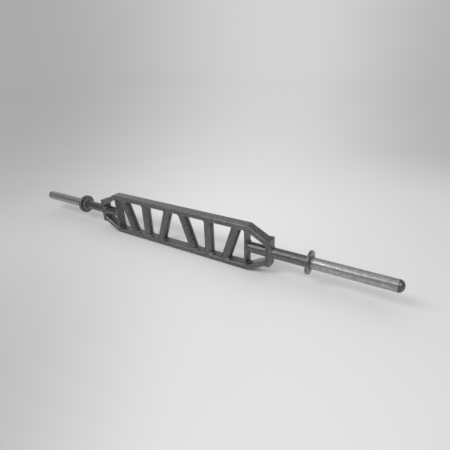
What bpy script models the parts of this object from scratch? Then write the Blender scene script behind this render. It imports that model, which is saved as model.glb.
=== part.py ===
"""Swiss bar: a welded multi-grip barbell.

X runs along the bar, Y across the frame and Z up. The frame stands on its
lower rail, and the origin is on the floor under the middle of the bar.
Everything is in metres.
"""

import math

import bmesh
import bpy
from mathutils import Matrix, Vector

# Whole bar
BAR_LENGTH = 2.070           # from tip to tip of the domed end caps
COLLAR_SPAN = 1.382          # between the faces that the plates stop against
FRAME_SPAN = 1.038           # over the outer faces of the two end posts
CORNER_SPAN = 0.820          # between the outer corners of one rail
FRAME_HEIGHT = 0.220         # from the floor to the top of the upper rail

# Rectangular tube of the rails and diagonals
RAIL_DEPTH = 0.050
RAIL_THICKNESS = 0.025
RAIL_WALL = 0.0025
RAIL_CORNER_RADIUS = 0.005

# Flat bars of the end posts and cross plates
POST_HEIGHT = 0.125
POST_THICKNESS = 0.020
PLATE_THICKNESS = 0.008
FLAT_BAR_EDGE = 0.0012

# Round tube of the shafts
SHAFT_DIAMETER = 0.0483
SHAFT_WALL = 0.0040

# Grips, counted from the middle of the bar outwards
GRIP_DIAMETER = 0.047
GRIP_WALL = 0.0030
INNER_GRIP_PLACE = 0.0735
GRIP_PITCH = 0.1225
GRIP_TILT = math.radians(19.0)

# Collars
COLLAR_DIAMETER = 0.102
COLLAR_THICKNESS = 0.012
COLLAR_EDGE_RADIUS = 0.0032
RELIEF_WIDTH = 0.0060
RELIEF_DEPTH = 0.0026

# Sleeves that carry the plates
SLEEVE_DIAMETER = 0.050
SLEEVE_WALL = 0.0030
SLEEVE_CHAMFER = 0.0008

# End caps: a dome flush with the sleeve and a ribbed plug inside it
DOME_HEIGHT = 0.0205
CAP_BAND = 0.0020
CAP_WALL = 0.0028
PLUG_LENGTH = 0.024
PLUG_WALL = 0.0022
RIB_COUNT = 3
RIB_HEIGHT = 0.0016
RIB_RISE = 0.55              # shares of one rib's pitch: its slope, its crest and its drop
RIB_CREST = 0.15
RIB_DROP = 0.10

# Space between two pieces that are welded or pressed together
GAP = 0.0003

# Fineness of the round shapes
TUBE_SEGMENTS = 48
TURNED_SEGMENTS = 48
CORNER_SEGMENTS = 4
ROUNDING_STEPS = 4
DOME_STEPS = 8
INNER_DOME_STEPS = 5
SHARP_ANGLE = math.radians(35)
MERGE_DISTANCE = 0.000005

# Colours are linear, and each finish is a colour, a roughness and a metallic value
POWDER_COAT = ((0.075, 0.076, 0.078), 0.48, 0.35)
BRIGHT_STEEL = ((0.46, 0.46, 0.45), 0.34, 1.0)
BLACK_PLASTIC = ((0.030, 0.030, 0.032), 0.55, 0.0)

AXIS_Z = FRAME_HEIGHT / 2
SHAFT_RADIUS = SHAFT_DIAMETER / 2
SLEEVE_RADIUS = SLEEVE_DIAMETER / 2
CORNER_X = CORNER_SPAN / 2
POST_OUTER_X = FRAME_SPAN / 2
POST_INNER_X = POST_OUTER_X - POST_THICKNESS
COLLAR_OUTER_X = COLLAR_SPAN / 2
COLLAR_INNER_X = COLLAR_OUTER_X - COLLAR_THICKNESS
CAP_START_X = BAR_LENGTH / 2 - DOME_HEIGHT - CAP_BAND
SLEEVE_END_X = CAP_START_X - GAP

SIDES = {"left": -1, "right": 1}


def clear_scene():
    """Start from an empty scene."""
    for item in list(bpy.data.objects):
        bpy.data.objects.remove(item, do_unlink=True)


def finish_for(name, finish):
    """A material of the piece's own, from a colour, a roughness and a metallic value."""
    colour, roughness, metallic = finish
    material = bpy.data.materials.new(name + "_finish")
    material.use_nodes = True
    shader = material.node_tree.nodes["Principled BSDF"]
    shader.inputs["Base Color"].default_value = (*colour, 1.0)
    shader.inputs["Roughness"].default_value = roughness
    shader.inputs["Metallic"].default_value = metallic
    return material


def add_piece(name, bm, finish, location):
    """Close the mesh, point its faces out and put it in the scene as one piece."""
    bmesh.ops.remove_doubles(bm, verts=bm.verts, dist=MERGE_DISTANCE)
    bmesh.ops.recalc_face_normals(bm, faces=bm.faces)
    mesh = bpy.data.meshes.new(name)
    bm.to_mesh(mesh)
    bm.free()
    mesh.shade_smooth()
    mesh.set_sharp_from_angle(angle=SHARP_ANGLE)
    mesh.materials.append(finish_for(name, finish))
    piece = bpy.data.objects.new(name, mesh)
    piece.location = location
    bpy.context.scene.collection.objects.link(piece)


def rectangle_face(bm, depth, thickness, corner_radius):
    """A flat section with rounded corners: depth along X, thickness along Y."""
    half_depth = depth / 2
    half_thickness = thickness / 2
    corners = [
        (-half_depth, -half_thickness, 0),
        (half_depth, -half_thickness, 0),
        (half_depth, half_thickness, 0),
        (-half_depth, half_thickness, 0),
    ]
    verts = [bm.verts.new(corner) for corner in corners]
    bm.faces.new(verts)
    bmesh.ops.bevel(
        bm,
        geom=verts,
        offset=corner_radius,
        offset_type="OFFSET",
        segments=CORNER_SEGMENTS,
        profile=0.5,
        affect="VERTICES",
        material=-1,
    )
    return list(bm.faces)


def circle_face(bm, radius):
    """A flat round section."""
    bmesh.ops.create_circle(bm, cap_ends=True, radius=radius, segments=TUBE_SEGMENTS)
    return list(bm.faces)


def open_bore(bm, faces, wall):
    """Leave only a wall of even thickness along the section's edge."""
    bmesh.ops.inset_region(
        bm,
        faces=faces,
        thickness=wall,
        use_boundary=True,
        use_even_offset=True,
    )
    bmesh.ops.delete(bm, geom=faces, context="FACES")


def cut_to_plane(verts, direction, point, normal):
    """Slide each vertex along the stock until it lies in the saw's plane."""
    for vert in verts:
        vert.co += direction * ((point - vert.co).dot(normal) / direction.dot(normal))


def draw_stock(bm, middle, direction, start_cut, end_cut):
    """Turn the flat section along direction, draw it out and saw both ends.

    The section's X axis goes across the frame. A cut is a point and a normal.
    """
    direction = direction.normalized()
    across = Vector((0, 1, 0))
    third = direction.cross(across)
    turn = Matrix((across, third, direction)).transposed().to_4x4()
    start_point = start_cut[0]
    end_point = end_cut[0]
    bmesh.ops.transform(bm, matrix=Matrix.Translation(middle) @ turn, verts=bm.verts)
    start_verts = list(bm.verts)
    drawn = bmesh.ops.extrude_face_region(bm, geom=list(bm.faces))
    end_verts = [item for item in drawn["geom"] if isinstance(item, bmesh.types.BMVert)]
    length = (end_point - start_point).length
    bmesh.ops.translate(bm, vec=direction * length, verts=end_verts)
    cut_to_plane(start_verts, direction, *start_cut)
    cut_to_plane(end_verts, direction, *end_cut)


def turn_profile(bm, points):
    """Turn a closed profile of (x, radius) points round the bar's axis."""
    verts = [bm.verts.new((x, 0, radius)) for x, radius in points]
    pairs = zip(verts, verts[1:] + verts[:1])
    edges = [bm.edges.new(pair) for pair in pairs]
    bmesh.ops.spin(
        bm,
        geom=verts + edges,
        cent=(0, 0, 0),
        axis=(1, 0, 0),
        angle=math.tau,
        steps=TURNED_SEGMENTS,
        use_merge=True,
    )


def arc(centre_x, centre_radius, size_x, size_radius, start, end, steps):
    """Points of a round or elliptical arc, its angles in degrees from the +X axis."""
    points = []
    for step in range(steps + 1):
        angle = math.radians(start + (end - start) * step / steps)
        x = centre_x + size_x * math.cos(angle)
        radius = centre_radius + size_radius * math.sin(angle)
        points.append((x, radius))
    return points


def slope_of_diagonal():
    """Direction from a rail's outer corner down to the top of the end post."""
    drop = (FRAME_HEIGHT - POST_HEIGHT) / 2
    return Vector((POST_INNER_X - CORNER_X, 0, -drop)).normalized()


def mitre_normal():
    """Normal of the saw cut shared by a rail and its diagonal."""
    return (Vector((1, 0, 0)) + slope_of_diagonal()).normalized()


def inner_corner_x():
    """Where the inner faces of a rail and its diagonal meet."""
    normal = mitre_normal()
    return CORNER_X + RAIL_THICKNESS * normal.z / normal.x


def build_rail(name, up):
    """A long rail, mitred at both ends. up is 1 for the upper rail and -1 for the lower."""
    bm = bmesh.new()
    open_bore(bm, rectangle_face(bm, RAIL_DEPTH, RAIL_THICKNESS, RAIL_CORNER_RADIUS), RAIL_WALL)
    normal = mitre_normal()
    right_normal = Vector((normal.x, 0, normal.z * up))
    left_normal = Vector((-normal.x, 0, normal.z * up))
    edge_z = up * FRAME_HEIGHT / 2
    right_corner = Vector((CORNER_X, 0, edge_z)) - right_normal * GAP / 2
    left_corner = Vector((-CORNER_X, 0, edge_z)) - left_normal * GAP / 2
    middle = Vector((0, 0, up * (FRAME_HEIGHT - RAIL_THICKNESS) / 2))
    draw_stock(bm, middle, Vector((1, 0, 0)), (left_corner, left_normal), (right_corner, right_normal))
    add_piece(name, bm, POWDER_COAT, (0, 0, AXIS_Z))


def build_diagonal(name, side, up):
    """A short sloping rail from the mitred corner down to the end post."""
    bm = bmesh.new()
    open_bore(bm, rectangle_face(bm, RAIL_DEPTH, RAIL_THICKNESS, RAIL_CORNER_RADIUS), RAIL_WALL)
    slope = slope_of_diagonal()
    normal = mitre_normal()
    direction = Vector((slope.x * side, 0, slope.z * up))
    corner_normal = Vector((normal.x * side, 0, normal.z * up))
    outwards = Vector((-slope.z * side, 0, slope.x * up))
    corner = Vector((CORNER_X * side, 0, up * FRAME_HEIGHT / 2))
    start_point = corner + corner_normal * GAP / 2
    end_point = Vector(((POST_INNER_X - GAP) * side, 0, up * POST_HEIGHT / 2))
    middle = corner - outwards * RAIL_THICKNESS / 2
    draw_stock(bm, middle, direction, (start_point, corner_normal), (end_point, Vector((side, 0, 0))))
    add_piece(name, bm, POWDER_COAT, (0, 0, AXIS_Z))


def build_flat_bar(name, centre_x, thickness, height):
    """An upright flat bar across the bar's axis, with its long edges eased."""
    bm = bmesh.new()
    rectangle_face(bm, RAIL_DEPTH, thickness, FLAT_BAR_EDGE)
    up = Vector((0, 0, 1))
    bottom = Vector((centre_x, 0, -height / 2))
    top = Vector((centre_x, 0, height / 2))
    draw_stock(bm, bottom, up, (bottom, up), (top, up))
    add_piece(name, bm, POWDER_COAT, (0, 0, AXIS_Z))


def build_shaft(name, start_x, end_x):
    """A piece of round tube on the bar's axis."""
    bm = bmesh.new()
    open_bore(bm, circle_face(bm, SHAFT_RADIUS), SHAFT_WALL)
    along = Vector((1, 0, 0))
    start = Vector((start_x, 0, 0))
    end = Vector((end_x, 0, 0))
    draw_stock(bm, start, along, (start, along), (end, along))
    add_piece(name, bm, POWDER_COAT, (0, 0, AXIS_Z))


def build_grip(name, centre_x, tilt):
    """A round grip whose ends are sawn to lie flat on the rails.

    tilt leans the grip's upper end towards +X.
    """
    bm = bmesh.new()
    open_bore(bm, circle_face(bm, GRIP_DIAMETER / 2), GRIP_WALL)
    direction = Vector((math.sin(tilt), 0, math.cos(tilt)))
    half_height = FRAME_HEIGHT / 2 - RAIL_THICKNESS - GAP
    foot = direction * (-half_height / math.cos(tilt))
    head = direction * (half_height / math.cos(tilt))
    up = Vector((0, 0, 1))
    draw_stock(bm, foot, direction, (foot, up), (head, up))
    add_piece(name, bm, POWDER_COAT, (centre_x, 0, AXIS_Z))


def build_collar(name, side):
    """A thick ring with a rounded rim and a stepped bore that the two tubes seat in."""
    seam_x = COLLAR_INNER_X + COLLAR_THICKNESS / 2
    shaft_bore = SHAFT_RADIUS + GAP
    sleeve_bore = SLEEVE_RADIUS + GAP
    rim = COLLAR_DIAMETER / 2
    rounding = COLLAR_EDGE_RADIUS
    relief_radius = sleeve_bore + RELIEF_WIDTH
    relief_x = COLLAR_OUTER_X - RELIEF_DEPTH
    inner_rim = arc(COLLAR_INNER_X + rounding, rim - rounding, rounding, rounding, 180, 90, ROUNDING_STEPS)
    outer_rim = arc(COLLAR_OUTER_X - rounding, rim - rounding, rounding, rounding, 90, 0, ROUNDING_STEPS)
    points = [(COLLAR_INNER_X, shaft_bore)] + inner_rim + outer_rim
    points += [(COLLAR_OUTER_X, relief_radius), (relief_x, relief_radius - RELIEF_DEPTH)]
    points += [(relief_x, sleeve_bore), (seam_x, sleeve_bore), (seam_x, shaft_bore)]
    bm = bmesh.new()
    turn_profile(bm, [(x * side, radius) for x, radius in points])
    add_piece(name, bm, POWDER_COAT, (0, 0, AXIS_Z))


def build_sleeve(name, side):
    """The bright tube that the plates slide on, from its seat in the collar to the cap."""
    start_x = COLLAR_INNER_X + COLLAR_THICKNESS / 2 + GAP
    bore = SLEEVE_RADIUS - SLEEVE_WALL
    chamfer = SLEEVE_CHAMFER
    points = [
        (start_x, bore),
        (start_x, SLEEVE_RADIUS),
        (SLEEVE_END_X - chamfer, SLEEVE_RADIUS),
        (SLEEVE_END_X, SLEEVE_RADIUS - chamfer),
        (SLEEVE_END_X, bore),
    ]
    bm = bmesh.new()
    turn_profile(bm, [(x * side, radius) for x, radius in points])
    add_piece(name, bm, BRIGHT_STEEL, (0, 0, AXIS_Z))


def plug_outline(rib_radius, core_radius):
    """The plug's barbed outside, from its inner end to the sleeve's mouth.

    Each rib rises gently from the inner end, where it enters, and drops sharply.
    """
    pitch = PLUG_LENGTH / RIB_COUNT
    points = []
    for rib in range(RIB_COUNT):
        foot_x = CAP_START_X - PLUG_LENGTH + rib * pitch
        crest_x = foot_x + pitch * RIB_RISE
        drop_x = crest_x + pitch * RIB_CREST
        points.append((foot_x, core_radius))
        points.append((crest_x, rib_radius))
        points.append((drop_x, rib_radius))
        points.append((drop_x + pitch * RIB_DROP, core_radius))
    points.append((CAP_START_X, core_radius))
    return points


def build_end_cap(name, side):
    """A moulded cap: a hollow dome flush with the sleeve on a hollow ribbed plug."""
    rib_radius = SLEEVE_RADIUS - SLEEVE_WALL - GAP
    core_radius = rib_radius - RIB_HEIGHT
    bore = core_radius - PLUG_WALL
    dome_x = CAP_START_X + CAP_BAND
    outer_dome = arc(dome_x, 0, DOME_HEIGHT, SLEEVE_RADIUS, 90, 0, DOME_STEPS)
    inner_radius = SLEEVE_RADIUS - CAP_WALL
    inner_height = DOME_HEIGHT - CAP_WALL
    shoulder = math.degrees(math.asin(bore / inner_radius))
    inner_dome = arc(dome_x, 0, inner_height, inner_radius, 0, shoulder, INNER_DOME_STEPS)
    points = plug_outline(rib_radius, core_radius)
    points += [(CAP_START_X, SLEEVE_RADIUS)] + outer_dome + inner_dome
    points.append((CAP_START_X - PLUG_LENGTH, bore))
    bm = bmesh.new()
    turn_profile(bm, [(x * side, radius) for x, radius in points])
    add_piece(name, bm, BLACK_PLASTIC, (0, 0, AXIS_Z))


def build_frame():
    """The welded hexagon: rails, diagonals, end posts and cross plates."""
    build_rail("upper_rail", 1)
    build_rail("lower_rail", -1)
    plate_outer_x = inner_corner_x() - GAP
    plate_height = FRAME_HEIGHT - 2 * (RAIL_THICKNESS + GAP)
    for word, side in SIDES.items():
        build_diagonal("upper_diagonal_" + word, side, 1)
        build_diagonal("lower_diagonal_" + word, side, -1)
        post_x = side * (POST_OUTER_X - POST_THICKNESS / 2)
        build_flat_bar("end_post_" + word, post_x, POST_THICKNESS, POST_HEIGHT)
        plate_x = side * (plate_outer_x - PLATE_THICKNESS / 2)
        build_flat_bar("cross_plate_" + word, plate_x, PLATE_THICKNESS, plate_height)
        build_shaft("inner_shaft_" + word, side * (plate_outer_x + GAP), side * (POST_INNER_X - GAP))


def build_grips():
    """Three grips on each side: the outer and inner ones lean, the middle one is upright."""
    for word, side in SIDES.items():
        middle_place = INNER_GRIP_PLACE + GRIP_PITCH
        outer_place = middle_place + GRIP_PITCH
        build_grip("inner_grip_" + word, side * INNER_GRIP_PLACE, -side * GRIP_TILT)
        build_grip("middle_grip_" + word, side * middle_place, 0.0)
        build_grip("outer_grip_" + word, side * outer_place, side * GRIP_TILT)


def build_ends():
    """What carries the plates: outer shafts, collars, sleeves and end caps."""
    seat_x = COLLAR_INNER_X + COLLAR_THICKNESS / 2 - GAP
    for word, side in SIDES.items():
        build_shaft("outer_shaft_" + word, side * (POST_OUTER_X + GAP), side * seat_x)
        build_collar("collar_" + word, side)
        build_sleeve("sleeve_" + word, side)
        build_end_cap("end_cap_" + word, side)


def main():
    clear_scene()
    build_frame()
    build_grips()
    build_ends()


main()
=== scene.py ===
# %% [markdown]
# # Finishing a swiss bar
# A swiss bar is a barbell with a welded frame in its middle, and the lifter holds it by
# six grips inside the frame. Its solid parts come from a CAD model that is loaded as a
# fixed frame. This lesson gives each part its fine surface: rounded stock, weld beads,
# coat, plating and plastic. Reading the model first, and taking every size from it, keeps
# the looks in step with the solids. The other way, typing the sizes again, drifts apart
# as soon as one of them changes.

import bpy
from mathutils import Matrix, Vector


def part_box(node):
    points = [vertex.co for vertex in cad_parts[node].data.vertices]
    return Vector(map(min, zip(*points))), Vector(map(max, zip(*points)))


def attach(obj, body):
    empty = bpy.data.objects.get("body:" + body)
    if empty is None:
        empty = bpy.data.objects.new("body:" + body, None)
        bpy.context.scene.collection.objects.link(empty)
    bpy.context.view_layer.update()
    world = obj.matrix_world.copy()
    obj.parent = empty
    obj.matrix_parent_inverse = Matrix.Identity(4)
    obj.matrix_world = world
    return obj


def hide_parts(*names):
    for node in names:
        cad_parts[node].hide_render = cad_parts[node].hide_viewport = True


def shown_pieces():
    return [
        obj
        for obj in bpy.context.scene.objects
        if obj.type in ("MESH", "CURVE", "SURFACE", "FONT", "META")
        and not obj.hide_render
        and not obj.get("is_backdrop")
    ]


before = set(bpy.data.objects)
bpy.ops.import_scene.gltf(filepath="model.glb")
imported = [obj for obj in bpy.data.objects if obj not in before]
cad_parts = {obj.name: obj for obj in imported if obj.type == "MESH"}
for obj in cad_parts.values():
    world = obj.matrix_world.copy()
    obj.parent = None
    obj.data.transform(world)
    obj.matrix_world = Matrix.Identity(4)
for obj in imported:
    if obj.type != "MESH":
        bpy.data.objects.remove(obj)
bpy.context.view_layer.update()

# %% [markdown]
# ## Sizes
# X runs along the bar, Y across the frame and Z up from the floor, in metres. Each size
# that the CAD boxes tell is read from them. The few that a box can't tell, such as the
# radius of a tube's corner, are written here once.

# %% Tools and sizes read from the frame
import math

import bmesh
import bpy
from mathutils import Matrix, Vector, noise

SIDES = {"left": -1, "right": 1}
LEVELS = {"upper": 1, "lower": -1}
X_AXIS = Vector((1, 0, 0))
Y_AXIS = Vector((0, 1, 0))
Z_AXIS = Vector((0, 0, 1))


def span(node, axis):
    """Lowest and highest coordinate of a node, along axis 0, 1 or 2 for X, Y or Z."""
    low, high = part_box(node)
    return low[axis], high[axis]


def thickness(node, axis):
    """Size of a node along an axis."""
    low, high = span(node, axis)
    return high - low


RAIL_DEPTH = thickness("upper_rail", 1)
RAIL_THICKNESS = thickness("upper_rail", 2)
FRAME_HEIGHT = span("upper_rail", 2)[1]
AXIS_Z = FRAME_HEIGHT / 2
POST_INNER_X, POST_OUTER_X = span("end_post_right", 0)
POST_TOP_Z = span("end_post_right", 2)[1]
SHAFT_RADIUS = thickness("outer_shaft_right", 1) / 2
SLEEVE_RADIUS = thickness("sleeve_right", 1) / 2
GRIP_RADIUS = thickness("middle_grip_right", 1) / 2
print("rail", RAIL_DEPTH, "by", RAIL_THICKNESS, "frame height", FRAME_HEIGHT)

# %% Sizes that a box can't tell
WELD_SPACE = 0.0003  # hairline that the CAD keeps between two welded pieces
RAIL_CORNER = 0.005  # radius of the rectangular tube's corners
FLAT_BAR_EDGE = 0.0012  # eased long edges of posts and plates
POST_PROUD = {"left": 0.0, "right": 0.0022}  # how far a post's head stands past its diagonal
CORNER_X = span("upper_rail", 0)[1] + WELD_SPACE / 2
HALF_DEPTH = RAIL_DEPTH / 2
slope = Vector((POST_INNER_X - CORNER_X, 0, POST_TOP_Z - FRAME_HEIGHT)).normalized()
mitre = (X_AXIS + slope).normalized()
INNER_CORNER_X = CORNER_X + RAIL_THICKNESS * mitre.z / mitre.x
print("diagonal slopes", round(math.degrees(math.asin(-slope.z)), 2), "degrees")

# %% [markdown]
# ## Camera
# The photograph was taken from the front, above the near end, with a wide lens. Its place
# and lens come from matching the bar's straight edges and round rims to the picture, which
# fixes them far better than judging by eye. Three plain turns set the direction: how far
# the view is turned round the bar, how far it dips, and how far the horizon is tipped.

# %% The camera
CAMERA_PLACE = Vector((1.02557, -1.17624, 0.85243))
CAMERA_TURN = math.radians(32.189)
CAMERA_DIP = math.radians(25.559)
CAMERA_ROLL = math.radians(-1.793)
LENS_MM = 27.308
SENSOR_MM = 36.0

scene = bpy.context.scene
camera_data = bpy.data.cameras.new("photo_view")
camera_data.lens = LENS_MM
camera_data.sensor_width = SENSOR_MM


def put_in_scene(name, data):
    """A new object in the scene with that data."""
    thing = bpy.data.objects.new(name, data)
    scene.collection.objects.link(thing)
    return thing


camera = put_in_scene("photo_view", camera_data)
turned_round = Matrix.Rotation(CAMERA_TURN, 4, "Z")
dipped = Matrix.Rotation(math.radians(90) - CAMERA_DIP, 4, "X")
rolled = Matrix.Rotation(CAMERA_ROLL, 4, "Z")
camera.matrix_world = Matrix.Translation(CAMERA_PLACE) @ turned_round @ dipped @ rolled
scene.camera = camera
scene.view_settings.view_transform = "Standard"
print("camera at", tuple(camera.location))

# %% [markdown]
# ## Shader arithmetic
# A finish is a formula: clouds plus streaks, less where the coat is rubbed. Written as node
# links, even a short formula fills a page. So one small class wraps a node's output, and
# Python's own plus, minus and times add the Math nodes. Every other node comes from its one
# method, which sets the node up first and then fills its sockets.

# %% A wire between shader nodes
class Wire:
    """One output of a shader node. Arithmetic on wires adds Math nodes to their tree."""

    def __init__(self, tree, socket=None):
        self.tree = tree
        self.socket = socket

    def node(self, kind, settings=None, sockets=None, output=0):
        """Add a node, set it up, fill its sockets with values or wires, return an output."""
        made = self.tree.nodes.new("ShaderNode" + kind)
        for setting, value in (settings or {}).items():
            setattr(made, setting, value)
        for socket, value in (sockets or {}).items():
            if isinstance(value, Wire):
                self.tree.links.new(value.socket, made.inputs[socket])
            else:
                made.inputs[socket].default_value = value
        return Wire(self.tree, made.outputs[output])

    def maths(self, operation, *terms):
        """A Math node on numbers or wires."""
        return self.node("Math", {"operation": operation}, dict(enumerate(terms)))

    def __add__(self, other):
        return self.maths("ADD", self, other)

    __radd__ = __add__

    def __sub__(self, other):
        return self.maths("SUBTRACT", self, other)

    def __rsub__(self, other):
        return self.maths("SUBTRACT", other, self)

    def __mul__(self, other):
        return self.maths("MULTIPLY", self, other)

    __rmul__ = __mul__

    def __abs__(self):
        return self.maths("ABSOLUTE", self)


# %% [markdown]
# Every finish is built from the same few moves: make soft noise, sharpen it, add several
# kinds of it up, mix two colours by the sum, and plug the result into the shader. So each
# finish below is mostly a table of its grains and of what they add.

# %% Small helpers for finishes
def ease(wire, start, end):
    """0 on one side of start, 1 past end, and a smooth change between them."""
    settings = {"interpolation_type": "SMOOTHSTEP"}
    return wire.node("MapRange", settings, {"Value": wire, "From Min": start, "From Max": end})


def grain(place, scale, detail=2.0, roughness=0.5, edge=None):
    """Soft noise around 0.5 with that many waves to the metre, sharpened if edge is given."""
    sockets = {"Vector": place, "Scale": scale, "Detail": detail, "Roughness": roughness}
    soft = place.node("TexNoise", None, sockets)
    return ease(soft, *edge) if edge else soft


def weigh(grains, start, shares):
    """Add grains up, each times its own share, on top of a start."""
    total = start
    for word, share in shares.items():
        total = grains[word] * share + total
    return total


def coordinate(place, axis):
    """The X, Y or Z of a place or direction."""
    return place.node("SeparateXYZ", None, {"Vector": place}, axis)


def mix_colours(share, first, second):
    """The first colour where share is 0, the second where it is 1."""
    return share.node("Mix", {"data_type": "RGBA"}, {0: share, 6: first, 7: second}, output=2)


def grey(level, warmth=0.0):
    """A linear grey, with a touch more red and less blue if warmth is above 0."""
    return (level * (1 + warmth), level, level * (1 - warmth), 1.0)


def plug(wire, shader, socket):
    """Link a wire to one of the shader's sockets."""
    wire.tree.links.new(wire.socket, shader.inputs[socket])


def start_finish(name):
    """A new material, its shader, and a wire that carries the object's coordinates."""
    material = bpy.data.materials.new(name)
    material.use_nodes = True
    shader = material.node_tree.nodes["Principled BSDF"]
    place = Wire(material.node_tree).node("TexCoord", output="Object")
    return material, shader, place


def bump(shader, height):
    """Raise the skin by a height in metres."""
    sockets = {"Height": height, "Distance": 1.0, "Strength": 1.0}
    plug(height.node("Bump", None, sockets), shader, "Normal")


# %% [markdown]
# ## Stage
# The bar stands on a pale studio floor. Behind it is a pale backdrop, and the side where
# the camera stands is open and dimmer. Polished steel is mostly a picture of its
# surroundings, so that difference is what draws the dark line along the sleeves. A world
# shader can hold it as a formula on direction, without walls that would stand in the way
# of other views.
#
# In the photograph that ground darkens to the left, and more gently to the right. World and
# floor take the shading from one function, so that no line shows where they meet.

# %% Shade at the sides of the ground
LEFT_SHADE = 0.37  # how much darker the ground grows to the left
LEFT_FADE = (0.16, -0.46)  # where that starts and is full, 0 being straight ahead
RIGHT_SHADE = 0.10  # the same to the right
RIGHT_FADE = (0.20, 0.60)
FAR_SHADE = 2.2  # how many times more the right-hand shade grows far away
backdrop_side = Vector((-math.sin(CAMERA_TURN), math.cos(CAMERA_TURN), 0))
right_side = Vector((math.cos(CAMERA_TURN), math.sin(CAMERA_TURN), 0))


def share_along(wire, side):
    """How far a place or direction lies towards a side."""
    return wire.node("VectorMath", {"operation": "DOT_PRODUCT"}, {0: wire, 1: side}, "Value")


def side_shade(direction, distance):
    """How much darker the ground is off to the left and the right, and more so far away."""
    across = share_along(direction, right_side)
    left = ease(across, *LEFT_FADE) * LEFT_SHADE
    return left + ease(across, *RIGHT_FADE) * (1 + distance * FAR_SHADE) * RIGHT_SHADE


print("ground darkens by", LEFT_SHADE, "to the left")

# %% [markdown]
# The world then answers three questions, each with its own strength. How bright is the
# ground that the camera sees? How much soft light falls on the bar? And what does polished
# metal show? The last is the richest: a backdrop that ends at some height, dark wings off
# the bar's ends, a dim open front and a white ceiling. Light Path tells which kind of ray
# is asking.

# %% The world round the bar
BACKDROP_LEVEL = 0.65  # pale ground in the middle of the picture
BACKDROP_TOP_LEVEL = 0.92  # the same ground, higher up and nearer to its lamps
BACKDROP_RISE = (0.12, 0.40)  # heights between which the first turns into the second
BACKDROP_END = (0.43, 0.57)  # heights between which the backdrop ends
BACKDROP_EDGE = (0.15, 0.55)  # how squarely a ray must look at it to see it
OPEN_EDGE = (-0.15, -0.60)  # and how squarely away from it to see the open side
CEILING_EDGE = (0.70, 0.90)  # heights between which the ceiling begins
SIDE_LIGHT = 0.50  # soft light on the object from the height of the bar
CEILING_LIGHT = 0.92  # and from straight above
RIGHT_DIMMER = 0.15  # share of it that is missing off the bar's right end
RIGHT_EDGE = (0.0, 0.8)
MIRRORED_FRONT = 0.24  # what polished metal shows of the open side
MIRRORED_WINGS = 0.09  # of the dark wings at the bar's ends
MIRRORED_CEILING = 0.90  # and of the white ceiling

world = bpy.data.worlds.new("studio")
world.use_nodes = True
scene.world = world
background = world.node_tree.nodes["Background"]
background.inputs["Color"].default_value = (1, 1, 1, 1)
sky = Wire(world.node_tree).node("TexCoord", output="Generated")
facing = share_along(sky, backdrop_side)
height = sky.maths("MAXIMUM", coordinate(sky, "Z"), 0)
lit = SIDE_LIGHT + height * (CEILING_LIGHT - SIDE_LIGHT)
lit = lit * (1 - RIGHT_DIMMER * ease(share_along(sky, X_AXIS), *RIGHT_EDGE))
backdrop = BACKDROP_LEVEL + ease(height, *BACKDROP_RISE) * (BACKDROP_TOP_LEVEL - BACKDROP_LEVEL)
sweep = ease(facing, *BACKDROP_EDGE) * (1 - ease(height, *BACKDROP_END))
front = ease(facing, *OPEN_EDGE)
mirrored = MIRRORED_WINGS + front * (MIRRORED_FRONT - MIRRORED_WINGS)
mirrored = mirrored * (1 - sweep) + backdrop * sweep
mirrored = mirrored + ease(height, *CEILING_EDGE) * (MIRRORED_CEILING - MIRRORED_FRONT)
seen = BACKDROP_LEVEL * (1 - side_shade(sky, 1))
straight, glossy, clear = [sky.node("LightPath", output="Is " + kind + " Ray")
                           for kind in ("Camera", "Glossy", "Transmission")]
mirror_share = sky.maths("MAXIMUM", glossy, clear)
strength = lit * (1 - mirror_share) + mirrored * mirror_share
plug(strength * (1 - straight) + seen * straight, background, "Strength")
print("ground as the camera sees it:", BACKDROP_LEVEL)

# %% [markdown]
# The floor is one large matt sheet, and the bar's own shadow falls on it. Its colour carries
# the same shading as the world. The shading fans out from a place in front of the bar, as
# it does in the photograph, and the ground nearest the camera is a little darker too.

# %% The floor
FLOOR_SIZE = 40.0
FLOOR_LEVEL = 0.86
FLOOR_ROUGHNESS = 0.9
FLOOR_CLOUD_WAVES = 1.5  # the floor's tone wanders with so many waves to the metre
FLOOR_CLOUDS = 0.02  # and by this much
FAN_DISTANCE = 2.2  # the shading fans out from a place so far in front of the bar
FAN_START = (0.2, 1.3)  # metres from there in which it sets in
FAR_START = (3.0, 4.6)  # metres in which the floor counts more and more as far away
NEAR_SHADE = 0.15  # how much darker the ground is near the camera
NEAR_START = (2.7, 1.4)
NEAR_SIDE = (0.55, 0.10)  # that shade leaves out the ground off to the right

floor_bm = bmesh.new()
bmesh.ops.create_grid(floor_bm, x_segments=1, y_segments=1, size=FLOOR_SIZE / 2)
floor_mesh = bpy.data.meshes.new("floor")
floor_bm.to_mesh(floor_mesh)
floor_bm.free()
floor = put_in_scene("floor", floor_mesh)
floor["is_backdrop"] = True
floor_finish, floor_shader, floor_place = start_finish("pale_floor")
fan_point = -FAN_DISTANCE * backdrop_side
from_fan = floor_place.node("VectorMath", {"operation": "SUBTRACT"}, {0: floor_place, 1: fan_point})
reach = from_fan.node("VectorMath", {"operation": "LENGTH"}, {0: from_fan}, "Value")
direction = from_fan.node("VectorMath", {"operation": "NORMALIZE"}, {0: from_fan})
shade = side_shade(direction, ease(reach, *FAR_START))
near = ease(reach, *NEAR_START) * ease(share_along(direction, right_side), *NEAR_SIDE)
clouds = grain(floor_place, FLOOR_CLOUD_WAVES) * FLOOR_CLOUDS
tone = (shade + near * NEAR_SHADE) * ease(reach, *FAN_START) + clouds
plug(mix_colours(tone, grey(FLOOR_LEVEL), grey(0.0)), floor_shader, "Base Color")
floor_shader.inputs["Roughness"].default_value = FLOOR_ROUGHNESS
floor_shader.inputs["Specular IOR Level"].default_value = 0.0
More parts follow.
